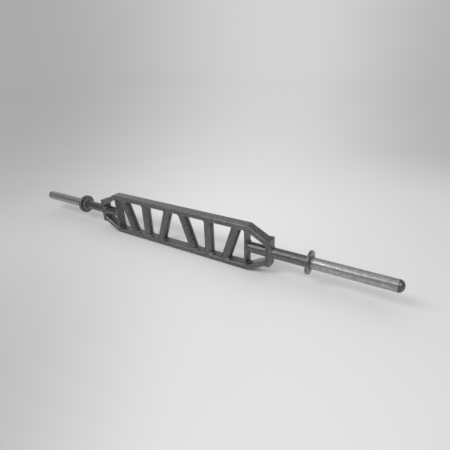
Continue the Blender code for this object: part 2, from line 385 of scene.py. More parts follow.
floor_mesh.materials.append(floor_finish)
print("floor level", FLOOR_LEVEL, "to", round(FLOOR_LEVEL * (1 - LEFT_SHADE), 2))

# %% [markdown]
# ## Lamps
# The bright streak along the tubes is the picture of a long lamp, so its place and depth
# come from where the streak lies and how wide it is. That puts a row of softboxes high up
# in front of the bar. The right-hand one is almost off: in the photograph the near end of
# the bar has the streak too, but the faces that look that way are dark.

# %% The softboxes
LAMP_AIM_Z = 0.10  # the row looks at the bar at this height
LAMP_FRONT_Y = -1.42
LAMP_HEIGHT = 1.88
LAMP_DEPTH = 0.58  # width of the row, across the bar
# middle along X, width and watts of the two softboxes that hang in a row
SOFTBOXES = {"softbox": (-0.35, 1.5, 19.0), "softbox_dim": (0.88, 0.76, 1.7)}

for name, (middle_x, width, watts) in SOFTBOXES.items():
    lamp = bpy.data.lights.new(name, "AREA")
    lamp.shape = "RECTANGLE"
    lamp.size = width
    lamp.size_y = LAMP_DEPTH
    lamp.energy = watts
    softbox = put_in_scene(name, lamp)
    softbox.location = (middle_x, LAMP_FRONT_Y, LAMP_HEIGHT)
    facing_bar = Vector((0, -LAMP_FRONT_Y, LAMP_AIM_Z - LAMP_HEIGHT))
    softbox.rotation_euler = facing_bar.to_track_quat("-Z", "Y").to_euler()
print("softboxes", round(facing_bar.length, 2), "m from the bar")

# %% [markdown]
# ## Powder coat
# The frame has a satin graphite powder coat with a little metal flake in it. Up close such
# a coat is never even: it has the soft dimples called orange peel, a mottle where the powder
# melted into small pools, faint clouds, streaks along the stock from hands and racks, and
# paler corners, partly rubbed and partly a painted highlight along the rounded edges. Fine
# noise is averaged away at the distance of a photograph. The mottle is sharpened until it is
# nearly two-toned, and so it still reads from afar.

# %% Colours and grains of the coat
COAT_DARK = grey(0.074, -0.012)
COAT_LIGHT = grey(0.186, -0.010)
# pale edge colour: partly rubbed coat, partly a painted highlight on the rounded edges
COAT_WORN_AND_HIGHLIT_EDGE = grey(0.33, -0.005)
# dark colour on the posts' sawn heads: painted shade on their top faces
COAT_HEAD_SHADE = grey(0.050, -0.010)
BARE_STEEL = grey(0.48)
COAT_METAL = 0.90
CLEAR_SKIN = 0.85  # the clear resin that lies over the flakes
THIN_SKIN = 0.3  # on flat bars, which stand in the lee of the tubes when sprayed
CLEAR_SKIN_ROUGHNESS = 0.36
# a grain's waves to the metre, detail, how rough that is, and the levels to sharpen between
COAT_GRAINS = {
    "clouds": (16, 3),
    "rubbing": (45, 4, 0.5, (0.40, 0.62)),
    "mottle": (130, 3, 0.7, (0.38, 0.62)),
    "chips": (330, 2, 0.5, (0.71, 0.74)),
    "dimples": (380, 1),
    "flakes": (1100, 1),
    "pits": (1500, 1),
}
STREAK_GRAIN = (230, 4, 0.6)
STREAK_STRETCH = 45.0
# where tone, roughness and height start, and what the grains add to each
COAT_TONE = (-0.90, {"clouds": 0.6, "mottle": 0.9, "streaks": 0.7, "flakes": 0.6})
COAT_DULL = (0.37, {"clouds": 0.10, "mottle": 0.04, "streaks": 0.06})
COAT_RELIEF = (0.0, {"mottle": 0.00008, "dimples": 0.00007, "pits": 0.000014})
EDGE_ATTRIBUTE = "edge_wear_and_highlight"
EDGE_WEAR_AND_HIGHLIGHT_LEAST = 0.35  # share of the paler edge where the rubbing grain is lowest: painted highlight, little rubbing
EDGE_WEAR_AND_HIGHLIGHT_SHARE = 0.8
RUBBED_POLISH = 0.08
CHIP_DEPTH = 0.00008
HEAD_SHADE_FADE = 0.0009
HEAD_SHADE_SHARE = 0.8
print("grains in the coat:", len(COAT_GRAINS) + 1)

# %% [markdown]
# A picture of paint would stretch at the mitres. Noise on the object's own coordinates
# doesn't, and turning those coordinates with each length of stock lets the streaks follow
# it. Where the skin turns sharply, each piece carries an attribute, and the rubbing and the
# painted edge highlight read that.

# %% The coat, for stock that leans by a given angle
def coat(name, lean, sawn_z=None, skin=CLEAR_SKIN):
    """Powder coat whose streaks run along a direction that leans from Z towards X.

    Where sawn_z is given, the sawn ends at sawn_z above and below the axis get painted shade.
    """
    material, shader, place = start_finish(name)
    leaning = {"Vector": place, "Rotation": (0, lean, 0), "Scale": (1, 1, STREAK_STRETCH)}
    along = place.node("Mapping", {"vector_type": "TEXTURE"}, leaning)
    grains = {word: grain(place, *numbers) for word, numbers in COAT_GRAINS.items()}
    grains["streaks"] = grain(along, *STREAK_GRAIN)
    edge = place.node("Attribute", {"attribute_name": EDGE_ATTRIBUTE}, None, "Fac")
    # paler edges: a painted highlight along the rounded corners, with patchy rubbing over it
    worn_and_highlit_edge = edge * (EDGE_WEAR_AND_HIGHLIGHT_LEAST + (1 - EDGE_WEAR_AND_HIGHLIGHT_LEAST) * grains["rubbing"])
    chips = edge * grains["chips"]
    colour = mix_colours(weigh(grains, *COAT_TONE), COAT_DARK, COAT_LIGHT)
    colour = mix_colours(worn_and_highlit_edge * EDGE_WEAR_AND_HIGHLIGHT_SHARE, colour, COAT_WORN_AND_HIGHLIT_EDGE)
    # painted shade on the sawn heads of the posts, fading in just below them
    if sawn_z:
        painted_head_shade = ease(abs(coordinate(place, "Z") - AXIS_Z), sawn_z - HEAD_SHADE_FADE, sawn_z)
        colour = mix_colours(painted_head_shade * HEAD_SHADE_SHARE, colour, COAT_HEAD_SHADE)
    plug(mix_colours(chips, colour, BARE_STEEL), shader, "Base Color")
    plug(COAT_METAL + chips * (1 - COAT_METAL), shader, "Metallic")
    plug(weigh(grains, *COAT_DULL) - worn_and_highlit_edge * RUBBED_POLISH, shader, "Roughness")
    shader.inputs["Coat Weight"].default_value = skin
    shader.inputs["Coat Roughness"].default_value = CLEAR_SKIN_ROUGHNESS
    bump(shader, weigh(grains, *COAT_RELIEF) - chips * CHIP_DEPTH)
    return material


slope_lean = math.atan2(slope.x, slope.z)
coat_along_bar = coat("coat_along_bar", math.radians(90))
coat_upright = coat("coat_upright", 0.0, None, THIN_SKIN)
coat_posts = {word: coat("coat_post_" + word, 0.0, POST_TOP_Z + proud - AXIS_Z, THIN_SKIN)
              for word, proud in POST_PROUD.items()}
coat_sloping = {sign: coat("coat_sloping_" + word, slope_lean * sign)
                for word, sign in (("down", 1), ("up", -1))}
print("coats:", len([m for m in bpy.data.materials if m.name.startswith("coat")]))

# %% [markdown]
# ## Plated sleeves
# The plates slide over the sleeves each day, so their bright plating is scratched along the
# bar, scuffed round it in rings where plates sit, and dull in patches. Noise drawn out
# along X gives the scratches and the bands of the grinding under the plating, noise drawn
# out round the axis gives the rings, and noise left as it is gives the patches. Roughness
# carries much of the wear, because on metal that is what the eye reads. Handling leaves a
# thin film, which is why the surface is not metal through and through.

# %% Bright steel with its scratches
STEEL_DARK = grey(0.250, 0.004)
STEEL_LIGHT = grey(0.540, 0.010)
STEEL_METAL = 0.85  # the rest is the film
SCORE_GREY = grey(0.22)
SCORE_SHARE = 0.5
# how the object's coordinates are drawn out, which each grain names first
STRETCHES = {"even": (1, 1, 1), "pulled": (3, 1, 1), "drawn": (40, 1, 1), "ringed": (1, 30, 30)}
STEEL_GRAINS = {
    "patches": ("even", 34, 4, 0.6),
    "rings": ("ringed", 130, 4, 0.6),
    "scuffs": ("pulled", 210, 4, 0.65, (0.36, 0.64)),
    "bands": ("drawn", 240, 2),
    "scratches": ("drawn", 520, 5, 0.65),
    "scores": ("drawn", 900, 2, 0.5, (0.62, 0.72)),
}
STEEL_TONE = (-0.70, {"scratches": 0.4, "bands": 0.7, "patches": 0.4, "rings": 0.35, "scuffs": 0.55})
STEEL_DULL = (0.28, {"patches": 0.14, "scratches": 0.10, "rings": 0.10, "scuffs": -0.12, "scores": 0.10})
STEEL_RELIEF = (0.0, {"scratches": 0.000010, "rings": 0.000005, "scores": -0.000010})


def plated_steel(name):
    """Plating worn along the bar and in rings round it."""
    material, shader, place = start_finish(name)
    places = {word: place.node("Mapping", {"vector_type": "TEXTURE"}, {"Vector": place, "Scale": scale})
              for word, scale in STRETCHES.items()}
    grains = {word: grain(places[way], *numbers) for word, (way, *numbers) in STEEL_GRAINS.items()}
    colour = mix_colours(weigh(grains, *STEEL_TONE), STEEL_DARK, STEEL_LIGHT)
    plug(mix_colours(grains["scores"] * SCORE_SHARE, colour, SCORE_GREY), shader, "Base Color")
    shader.inputs["Metallic"].default_value = STEEL_METAL
    plug(weigh(grains, *STEEL_DULL), shader, "Roughness")
    bump(shader, weigh(grains, *STEEL_RELIEF))
    return material


sleeve_finish = plated_steel("plated_steel")
print("sleeve finish:", sleeve_finish.name)

# %% [markdown]
# ## Moulded caps
# The domes that close the sleeves are black plastic straight from the mould: a fine spark
# texture all over, and grey scuffs where the bar was stood on its end. The scuffs belong on
# the crown of the dome, so the formula reads how far along the bar a point lies. A pale
# spot on the near cap is a painted highlight, measured as a distance from its own place.

# %% Black plastic
PLASTIC_DARK = grey(0.075)
PLASTIC_SCUFFED = grey(0.13)
# pale colour of small dents, and of the painted highlight spot on the near cap
PLASTIC_PALE_DENT_AND_HIGHLIGHT = grey(0.40)
PLASTIC_GRAINS = {
    "dents": (75, 5, 0.6, (0.56, 0.70)),
    "sheen": (90, 3),
    "scuffs": (420, 6, 0.75, (0.48, 0.66)),
    "spot_grain": (500, 3),
    "sparks": (1700, 2),
}
PLASTIC_DULL = (0.28, {"sheen": 0.16, "scuffs": 0.1})
PLASTIC_RELIEF = (0.0, {"sparks": 0.00003, "scuffs": -0.00002})
CAP_TIP_X = span("end_cap_right", 0)[1]
CROWN_REACH = 0.016  # how far the scuffed crown runs back from the tip
CROWN_SHARE = 0.7  # of the scuffs, which only the crown has
DENT_SHARE = 0.3
# a painted highlight: a pale spot on the near cap's dome, where the lamp's highlight falls
HIGHLIGHT_SPOT_PLACE = (1.0175, -0.0171, 0.1275)
HIGHLIGHT_SPOT_SIZE = 0.0075
HIGHLIGHT_SPOT_LEAST = 0.35  # how pale the painted highlight spot is where its grain is darkest


def moulded_plastic(name):
    """Spark-textured plastic, scuffed near the tips of the bar."""
    material, shader, place = start_finish(name)
    grains = {word: grain(place, *numbers) for word, numbers in PLASTIC_GRAINS.items()}
    crown = ease(abs(coordinate(place, "X")), CAP_TIP_X - CROWN_REACH, CAP_TIP_X)
    grains["scuffs"] *= crown * CROWN_SHARE + (1 - CROWN_SHARE)
    distance = place.node("VectorMath", {"operation": "DISTANCE"}, {0: place, 1: HIGHLIGHT_SPOT_PLACE}, "Value")
    # the painted highlight spot, broken up by a grain
    painted_highlight_spot = ease(distance, HIGHLIGHT_SPOT_SIZE, 0) * (HIGHLIGHT_SPOT_LEAST + grains["spot_grain"])
    colour = mix_colours(grains["scuffs"], PLASTIC_DARK, PLASTIC_SCUFFED)
    dents_and_highlight = grains["dents"] * DENT_SHARE + painted_highlight_spot
    plug(mix_colours(dents_and_highlight, colour, PLASTIC_PALE_DENT_AND_HIGHLIGHT), shader, "Base Color")
    plug(weigh(grains, *PLASTIC_DULL), shader, "Roughness")
    bump(shader, weigh(grains, *PLASTIC_RELIEF))
    return material


cap_finish = moulded_plastic("moulded_plastic")
print("cap finish:", cap_finish.name)

# %% [markdown]
# ## From a bmesh to a piece
# Each shape below is made in a bmesh and handed to one function. It merges doubles, points
# the faces out, measures how sharply the skin bends at each vertex, and makes the object
# ride on the frame's body. The bend is an angle divided by the width over which it turns,
# so a 5 mm corner counts and a 24 mm tube hardly does.

# %% Hand a finished mesh to the frame
MERGE_DISTANCE = 0.000004
SHARP_ANGLE = math.radians(38)
BEND_FROM = 70.0  # bends per metre at which edge wear and the painted edge highlight start to show, and show fully
BEND_FULL = 230.0


def clamp(value, low, high):
    """The value, or the limit that it has passed."""
    return min(max(value, low), high)


def mark_edges(bm):
    """Store on each vertex, from 0 to 1, how sharply the skin turns there."""
    layer = bm.verts.layers.float.new(EDGE_ATTRIBUTE)
    for vert in bm.verts:
        bend = 0.0
        for edge in vert.link_edges:
            length = edge.calc_length()
            width = sum(face.calc_area() for face in edge.link_faces) / 2 / length
            bend = max(bend, edge.calc_face_angle(0.0) / max(width, MERGE_DISTANCE))
        vert[layer] = clamp((bend - BEND_FROM) / (BEND_FULL - BEND_FROM), 0.0, 1.0)


def add_piece(name, bm, finish, nodes=()):
    """Turn a bmesh into a piece of the bar that stands for some CAD nodes."""
    bmesh.ops.remove_doubles(bm, verts=bm.verts, dist=MERGE_DISTANCE)
    bmesh.ops.recalc_face_normals(bm, faces=bm.faces)
    mark_edges(bm)
    mesh = bpy.data.meshes.new(name)
    bm.to_mesh(mesh)
    bm.free()
    mesh.shade_smooth()
    mesh.set_sharp_from_angle(angle=SHARP_ANGLE)
    mesh.materials.append(finish)
    piece = put_in_scene(name, mesh)
    level_out = piece.modifiers.new("flat_faces_first", "WEIGHTED_NORMAL")
    level_out.keep_sharp = True
    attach(piece, "root")
    if nodes:
        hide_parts(*nodes)


def add_coated(node, bm, finish):
    """Add the coated piece that stands for one CAD node."""
    add_piece("coated_" + node, bm, finish, [node])


def flip(bm, side, up):
    """Carry a shape from the bar's right upper quarter to another quarter."""
    centre = Matrix.Translation((0, 0, AXIS_Z))
    mirror = Matrix.Diagonal((side, 1, up, 1))
    bmesh.ops.transform(bm, matrix=centre @ mirror @ centre.inverted(), verts=bm.verts)


print("wear starts at", BEND_FROM, "bends to the metre and is full at", BEND_FULL)

# %% [markdown]
# ## Sections drawn to length
# Rails, diagonals, posts, plates and grips are all stock: one flat section, drawn out along
# a straight line and sawn at each end. A bevel on the section's four corner points rounds
# them, which is cleaner than beveling the long edges of a finished box. The saw slides each
# end vertex along the stock until it lies in the saw's plane, so a mitre stays exact.

# %% Stock and saw
CORNER_STEPS = 8
ROUND_SEGMENTS = 96
STOCK_STEP = 0.010  # between two rings of vertices along a length of stock


def round_off(bm, items, radius, steps, kind):
    """Round VERTICES of a flat face, or EDGES, off in a few steps."""
    bmesh.ops.bevel(bm, geom=items, offset=radius, offset_type="OFFSET", segments=steps,
                    profile=0.5, affect=kind, material=-1, clamp_overlap=True)


def rounded_section(depth, width, corner, steps=CORNER_STEPS):
    """One flat face with round corners, depth along X and width along Y."""
    bm = bmesh.new()
    bmesh.ops.create_grid(bm, x_segments=1, y_segments=1, size=0.5)
    bmesh.ops.scale(bm, vec=(depth, width, 1), verts=bm.verts)
    round_off(bm, list(bm.verts), corner, steps, "VERTICES")
    return bm


def round_section(radius):
    """One flat round face."""
    bm = bmesh.new()
    bmesh.ops.create_circle(bm, cap_ends=True, radius=radius, segments=ROUND_SEGMENTS)
    return bm


def only_verts(items):
    """The vertices among what a bmesh operator made."""
    return [item for item in items if isinstance(item, bmesh.types.BMVert)]


def placing(x_axis, y_axis, z_axis, origin):
    """The matrix whose columns are three axes, leaning ones too, and an origin."""
    return Matrix.Translation(origin) @ Matrix((x_axis, y_axis, z_axis)).transposed().to_4x4()


def saw(verts, direction, point, normal):
    """Slide vertices along the stock into the plane of the cut."""
    for vert in verts:
        vert.co += direction * ((point - vert.co).dot(normal) / direction.dot(normal))


def draw_out(bm, start, end, start_normal, end_normal):
    """Draw a section from start to end, its X across the frame, and saw both ends."""
    run = end - start
    direction = run.normalized()
    place = placing(Y_AXIS, direction.cross(Y_AXIS), direction, start)
    bmesh.ops.transform(bm, matrix=place, verts=bm.verts)
    first = set(bm.verts)
    last = only_verts(bmesh.ops.extrude_face_region(bm, geom=list(bm.faces))["geom"])
    bmesh.ops.translate(bm, vec=run, verts=last)
    saw(first, direction, start, start_normal)
    saw(last, direction, end, end_normal)
    long_edges = [edge for edge in bm.edges if (edge.verts[0] in first) != (edge.verts[1] in first)]
    cuts = int(run.length / STOCK_STEP)
    bmesh.ops.subdivide_edges(bm, edges=long_edges, cuts=cuts, use_grid_fill=True)
    return bm


print("stock has a ring of vertices each", STOCK_STEP, "m")

# %% [markdown]
# ## Rails and diagonals
# The hexagon is rectangular tube, 50 by 25 mm, mitred where rail and diagonal meet. On the
# real frame weld metal fills those mitres and is ground flush, so here both tubes run right
# up to the shared plane and no dark slit is left. Each piece is drawn in the right upper
# quarter and flipped to its own place.

# %% The six lengths of rectangular tube
mitre_middle = Vector(((CORNER_X + INNER_CORNER_X) / 2, 0, FRAME_HEIGHT - RAIL_THICKNESS / 2))
diagonal_foot_z = POST_TOP_Z - RAIL_THICKNESS / 2 / slope.x
diagonal_end = Vector((POST_INNER_X, 0, diagonal_foot_z))
left_mitre = Vector((-mitre.x, 0, mitre.z))
left_middle = Vector((-mitre_middle.x, 0, mitre_middle.z))

for level, up in LEVELS.items():
    rail_bm = rounded_section(RAIL_DEPTH, RAIL_THICKNESS, RAIL_CORNER)
    draw_out(rail_bm, left_middle, mitre_middle, left_mitre, mitre)
    flip(rail_bm, 1, up)
    add_coated(level + "_rail", rail_bm, coat_along_bar)
    for word, side in SIDES.items():
        diagonal_bm = rounded_section(RAIL_DEPTH, RAIL_THICKNESS, RAIL_CORNER)
        draw_out(diagonal_bm, mitre_middle, diagonal_end, mitre, X_AXIS)
        flip(diagonal_bm, side, up)
        add_coated(level + "_diagonal_" + word, diagonal_bm, coat_sloping[side * up])
print("tubes meet at x", round(INNER_CORNER_X, 4), "to", round(CORNER_X, 4))

# %% [markdown]
# ## Posts and plates
# Two thick flat bars close the hexagon, and two thin ones stand inside it at the corners.
# Their long edges are eased. The posts' ends were sawn and filed, so the edges of the cut
# are beveled too: a crisp sawn edge would catch no light at all and look cut from paper.
# The near post's head also stands a little proud of its diagonal, which leaves the small
# notch that the photograph shows where the two meet.

# %% Upright flat bars
SAWN_BEVEL = 0.0009
SAWN_BEVEL_STEPS = 3
PLANE_HAIR = 0.00002  # how close to a plane a vertex counts as lying in it


def lies_at(edge, height):
    """Whether both ends of an edge are at a height."""
    return all(abs(vert.co.z - height) < PLANE_HAIR for vert in edge.verts)


def flat_bar(node, bevel=0.0, proud=0.0):
    """An upright flat bar in a node's place, its ends beveled and its head higher by proud."""
    low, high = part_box(node)
    foot = Vector(((low.x + high.x) / 2, 0, low.z))
    head = Vector((foot.x, 0, high.z + proud))
    bm = rounded_section(high.y - low.y, high.x - low.x, FLAT_BAR_EDGE)
    draw_out(bm, foot, head, Z_AXIS, Z_AXIS)
    if bevel:
        ends = [edge for edge in bm.edges if lies_at(edge, foot.z) or lies_at(edge, head.z)]
        round_off(bm, ends, bevel, SAWN_BEVEL_STEPS, "EDGES")
    return bm


for word in SIDES:
    post = "end_post_" + word
    add_coated(post, flat_bar(post, SAWN_BEVEL, POST_PROUD[word]), coat_posts[word])
    plate = "cross_plate_" + word
    add_coated(plate, flat_bar(plate), coat_upright)
print("posts", POST_OUTER_X - POST_INNER_X, "m thick")

# %% [markdown]
# ## Grips
# The six grips are round tube between the rails. The outer pair leans outwards at the top,
# the inner pair leans to the middle, and the middle pair is upright. A grip's lean is read
# from the middles of its two ends, which is safer than trusting one number for four grips.

# %% Six round grips
def end_middle(node, end):
    """Middle of a node's foot, where end is 0, or of its head, where end is 1."""
    level = span(node, 2)[end]
    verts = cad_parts[node].data.vertices
    places = [vert.co.x for vert in verts if abs(vert.co.z - level) < PLANE_HAIR]
    return Vector(((min(places) + max(places)) / 2, 0, level))


grip_coats = {}
grips = [pair + "_grip_" + word for pair in ("inner", "middle", "outer") for word in SIDES]
grip_ends = {grip: (end_middle(grip, 0), end_middle(grip, 1)) for grip in grips}
for grip, (foot, head) in grip_ends.items():
    lean = math.atan2(head.x - foot.x, head.z - foot.z)
    degrees = round(math.degrees(lean))
    if degrees not in grip_coats:
        grip_coats[degrees] = coat("coat_grip_" + str(degrees), lean)
    grip_bm = draw_out(round_section(GRIP_RADIUS), foot, head, Z_AXIS, Z_AXIS)
    add_coated(grip, grip_bm, grip_coats[degrees])
    print(grip, "leans", degrees, "degrees")

# %% [markdown]
# ## Turned pieces
# Shafts, collars, sleeves and caps are round about the bar's axis. Each is a closed profile
# of a few points, spun once round X. Spin needs the merge at the seam, or the first and last
# rings lie on each other and the surface has a crack. Rims are short arcs in the profile.

# %% Spin a profile round the axis of the bar
RIM_STEPS = 8


def turn_profile(points, side):
    """Spin a closed profile of (x, radius) points round the bar's axis, on one side of it."""
    bm = bmesh.new()
    verts = [bm.verts.new((x, 0, radius)) for x, radius in points]
    edges = [bm.edges.new(pair) for pair in zip(verts, verts[1:] + verts[:1])
             if pair[0].co.z + pair[1].co.z > 0]
    bmesh.ops.spin(bm, geom=verts + edges, cent=(0, 0, 0), axis=(1, 0, 0), angle=math.tau,
                   steps=ROUND_SEGMENTS, use_merge=True)
    bmesh.ops.transform(bm, matrix=Matrix.Translation((0, 0, AXIS_Z)), verts=bm.verts)
    flip(bm, side, 1)
    return bm


def arc(centre_x, centre_radius, reach_x, reach_radius, start, end, steps=RIM_STEPS):
    """Points on a round or elliptical arc between two angles in degrees, from +X."""
    angles = [math.radians(start + (end - start) * step / steps) for step in range(steps + 1)]
    return [(centre_x + reach_x * math.cos(angle), centre_radius + reach_radius * math.sin(angle))
            for angle in angles]


def turn_pair(look, part, points, finish):
    """Turn the same profile for both ends of the bar."""
    for word, side in SIDES.items():
        add_piece(look + part + word, turn_profile(points, side), finish, [part + word])


print("round pieces have", ROUND_SEGMENTS, "segments")

# %% [markdown]
# A shaft's profile is a plain rectangle, since its ends are hidden in weld and collar. The
# outer shafts join the frame to the collars, and the inner ones carry the load on to the
# cross plates.

# %% Shafts
SHAFT_WALL = 0.0040
bore = SHAFT_RADIUS - SHAFT_WALL

for word, side in SIDES.items():
    for shaft in ("inner_shaft_" + word, "outer_shaft_" + word):
        start, end = sorted(abs(x) for x in span(shaft, 0))
        profile = [(start, bore), (start, SHAFT_RADIUS), (end, SHAFT_RADIUS), (end, bore)]
        add_coated(shaft, turn_profile(profile, side), coat_along_bar)
    print("outer shaft ends", round(end, 4), "m from the middle")

# %% [markdown]
# ## Collars
# A collar is a thick ring that stops the plates. Its rim is turned to a soft radius, and on
# the outer face a shallow groove runs round the sleeve, which reads as a dark line in the
# photograph. Both are in the profile, because a bump can't change an outline.

# %% Collars
COLLAR_RIM = 0.0032
RELIEF_WIDTH = 0.0060
RELIEF_DEPTH = 0.0026
COLLAR_RADIUS = thickness("collar_right", 1) / 2
COLLAR_INNER_X, COLLAR_OUTER_X = span("collar_right", 0)

# inner face, rounded rim, outer face, relief groove and bore
groove = SLEEVE_RADIUS + RELIEF_WIDTH
groove_x = COLLAR_OUTER_X - RELIEF_DEPTH
rim = COLLAR_RADIUS - COLLAR_RIM
profile = [(COLLAR_INNER_X, SHAFT_RADIUS)]
profile += arc(COLLAR_INNER_X + COLLAR_RIM, rim, COLLAR_RIM, COLLAR_RIM, 180, 90)
profile += arc(COLLAR_OUTER_X - COLLAR_RIM, rim, COLLAR_RIM, COLLAR_RIM, 90, 0)
profile += arc(COLLAR_OUTER_X - RELIEF_DEPTH / 2, groove, RELIEF_DEPTH / 2, RELIEF_DEPTH / 4, 0, -80)
profile += arc(groove_x + RELIEF_DEPTH / 3, groove - RELIEF_DEPTH / 2, RELIEF_DEPTH / 3,
               RELIEF_DEPTH / 4, 90, 180)
profile += [(groove_x, SLEEVE_RADIUS), (COLLAR_INNER_X + RELIEF_DEPTH, SHAFT_RADIUS)]
turn_pair("coated_", "collar_", profile, coat_along_bar)
print("collar", 2 * COLLAR_RADIUS, "m across")

# %% [markdown]
# ## Sleeves and caps
# A sleeve is plain tube. What makes it real is its small chamfer at the cap, where a thin
# bright ring shows.

# %% Sleeves
SLEEVE_WALL = 0.0030
SLEEVE_CHAMFER = 0.0008
CHAMFER_STEPS = 4
SLEEVE_START_X, SLEEVE_END_X = span("sleeve_right", 0)

bore = SLEEVE_RADIUS - SLEEVE_WALL
profile = [(SLEEVE_START_X, bore), (SLEEVE_START_X, SLEEVE_RADIUS)]
profile += arc(SLEEVE_END_X - SLEEVE_CHAMFER, SLEEVE_RADIUS - SLEEVE_CHAMFER, SLEEVE_CHAMFER,
               SLEEVE_CHAMFER, 90, 0, CHAMFER_STEPS)
profile.append((SLEEVE_END_X, bore))
turn_pair("plated_", "sleeve_", profile, sleeve_finish)
print("sleeve", round(SLEEVE_END_X - COLLAR_OUTER_X, 4), "m long outside the collar")

# %% [markdown]
# The cap is a flat dome, an ellipse turned round the bar, on a short band that is flush
# with the sleeve. Behind the band its plug reaches into the tube. A half ball would stand
# out too far: in the photograph the dome is not as high as it is wide.

# %% End caps
CAP_BAND = 0.0020
CAP_EDGE = 0.0004
CAP_EDGE_STEPS = 3
CAP_PLUG_RADIUS = 0.0215
DOME_STEPS = 28
CAP_START_X = SLEEVE_END_X + WELD_SPACE
PLUG_START_X = span("end_cap_right", 0)[0]

# plug, band and dome, closed along the axis
dome_x = CAP_START_X + CAP_BAND
profile = [(PLUG_START_X, 0.0), (PLUG_START_X, CAP_PLUG_RADIUS), (CAP_START_X, CAP_PLUG_RADIUS)]
profile += arc(CAP_START_X + CAP_EDGE, SLEEVE_RADIUS - CAP_EDGE, CAP_EDGE, CAP_EDGE, 180, 90,
               CAP_EDGE_STEPS)
profile += arc(dome_x, 0, CAP_TIP_X - dome_x, SLEEVE_RADIUS, 90, 0, DOME_STEPS)
turn_pair("moulded_", "end_cap_", profile, cap_finish)
print("dome", round(CAP_TIP_X - dome_x, 4), "m high")

# %% [markdown]
# ## Weld beads
# What tells a welded frame from a moulded toy is the bead at each joint: a fillet a few
# millimetres wide, rippled where the welder's hand moved on, and softened by the coat. All
# beads here are one construction. It starts from the outline of the member's end, a circle
# or a rounded rectangle, as a loop of short edges.

# %% The outline that a bead follows
RIPPLE_PITCH = 0.0026
RIPPLE_STEPS = 6
ARC_STEPS_LEAST = 3


def end_outline(half_x, half_y, corner):
    """A closed loop of short edges: a circle, or a rectangle with round corners."""
    spacing = RIPPLE_PITCH / RIPPLE_STEPS
    if corner == half_x == half_y:
        bm = bmesh.new()
        bmesh.ops.create_circle(bm, radius=corner, segments=round(math.tau * corner / spacing))
        return bm
    arc_steps = max(ARC_STEPS_LEAST, round(math.pi / 2 * corner / spacing))
    bm = rounded_section(2 * half_x, 2 * half_y, corner, arc_steps)
    bmesh.ops.delete(bm, geom=list(bm.faces), context="FACES_ONLY")
    for edge in list(bm.edges):
        cuts = int(edge.calc_length() / spacing)
        if cuts > 1:
            bmesh.ops.subdivide_edges(bm, edges=[edge], cuts=cuts)
    return bm


def walk_round(bm):
    """The vertices of a closed loop, in order."""
    start = next(iter(bm.verts))
    ordered = [start]
    edge = start.link_edges[0]
    vert = edge.other_vert(start)
    while vert != start:
        ordered.append(vert)
        edge = next(item for item in vert.link_edges if item != edge)
        vert = edge.other_vert(vert)
    return ordered


print("a ripple is", RIPPLE_PITCH, "m long and has", RIPPLE_STEPS, "steps")

# %% [markdown]
# Across, a bead is a bulging triangle whose hidden sides lie a hair inside the metal. Along,
# it swells and thins with each ripple and wanders a little, since no hand is steady. Where
# the face under it curves away, a ground function tells how far it drops, and near the
# frame's sides it is held within limits.

# %% A bead's section, its swell and its ground
BEAD_STEPS = 6
BEAD_BULGE = 0.16  # shares of the bead's leg
RIPPLE_DEPTH = 0.055
WANDER = 0.16
BEAD_ROOT = 0.0004  # how deep the hidden side lies in the metal
FLUSH = 0.00012  # how far a dressed bead stands proud
SIDE_LIMIT = HALF_DEPTH + FLUSH
FAR = 1.0  # no limit
ROUND_SHARE = 0.93  # of an edge's radius, which a bead follows before it is dressed
SIDE_REACH = 0.6  # how far it then runs down the side, for each metre past it


def bead_section(leg):
    """(outwards, upwards) points across a bead, from the member's wall to the face."""
    points = []
    for step in range(BEAD_STEPS + 1):
        share = step / BEAD_STEPS
        bulge = BEAD_BULGE * leg * 4 * share * (1 - share)
        points.append((leg * share + bulge, leg * (1 - share) + bulge))
    return points + [(leg, -BEAD_ROOT), (-BEAD_ROOT, -BEAD_ROOT), (-BEAD_ROOT, leg)]


def fullness(share, length, seed):
    """How full the bead is at a share of the way round: ripples, and a slow wander."""
    ripples = round(length / RIPPLE_PITCH)
    ripple = math.cos(math.tau * share * ripples)
    round_trip = Vector((math.cos(math.tau * share), math.sin(math.tau * share), seed)) * 2
    return 1 + RIPPLE_DEPTH * ripple + WANDER * noise.noise(round_trip)


def keep_inside(vert, inner_x, outer_x, side_y):
    """Hold a vertex within a box whose corners are round, in X from -inner_x to outer_x."""
    core_x = clamp(vert.co.x, FLAT_BAR_EDGE - inner_x, outer_x - FLAT_BAR_EDGE)
    core_y = clamp(vert.co.y, FLAT_BAR_EDGE - side_y, side_y - FLAT_BAR_EDGE)
    core = Vector((core_x, core_y, vert.co.z))
    past = vert.co - core
    if past.length > FLAT_BAR_EDGE:
        vert.co = core + past * (FLAT_BAR_EDGE / past.length)


def falls_off(flat_half, radius):
    """A ground function: level out to flat_half in Y, then round an edge and down the side."""
    def ground(point):
        past = abs(point.y) - flat_half
        round_part = clamp(past, 0, ROUND_SHARE * radius)
        down_side = max(past - radius, 0) * SIDE_REACH
        return math.sqrt(radius ** 2 - round_part ** 2) - radius - down_side
    return ground


print("points across a bead:", len(bead_section(1.0)), "side limit:", SIDE_LIMIT)

# %% [markdown]
# Each vertex of the loop remembers its place on the outline, the way outwards and how full
# the bead is there. The loop is then extruded once for each point of the bead's section.
# That keeps one ring of quads per point, and a shear in the placing matrix fits the same
# ring to a leaning grip.

# %% The bead itself
def pour(bm, welds):
    """Move one bmesh into the bmesh of welds, by way of a mesh."""
    carrier = bpy.data.meshes.new("carrier")
    bm.to_mesh(carrier)
    bm.free()
    welds.from_mesh(carrier)
    bpy.data.meshes.remove(carrier)


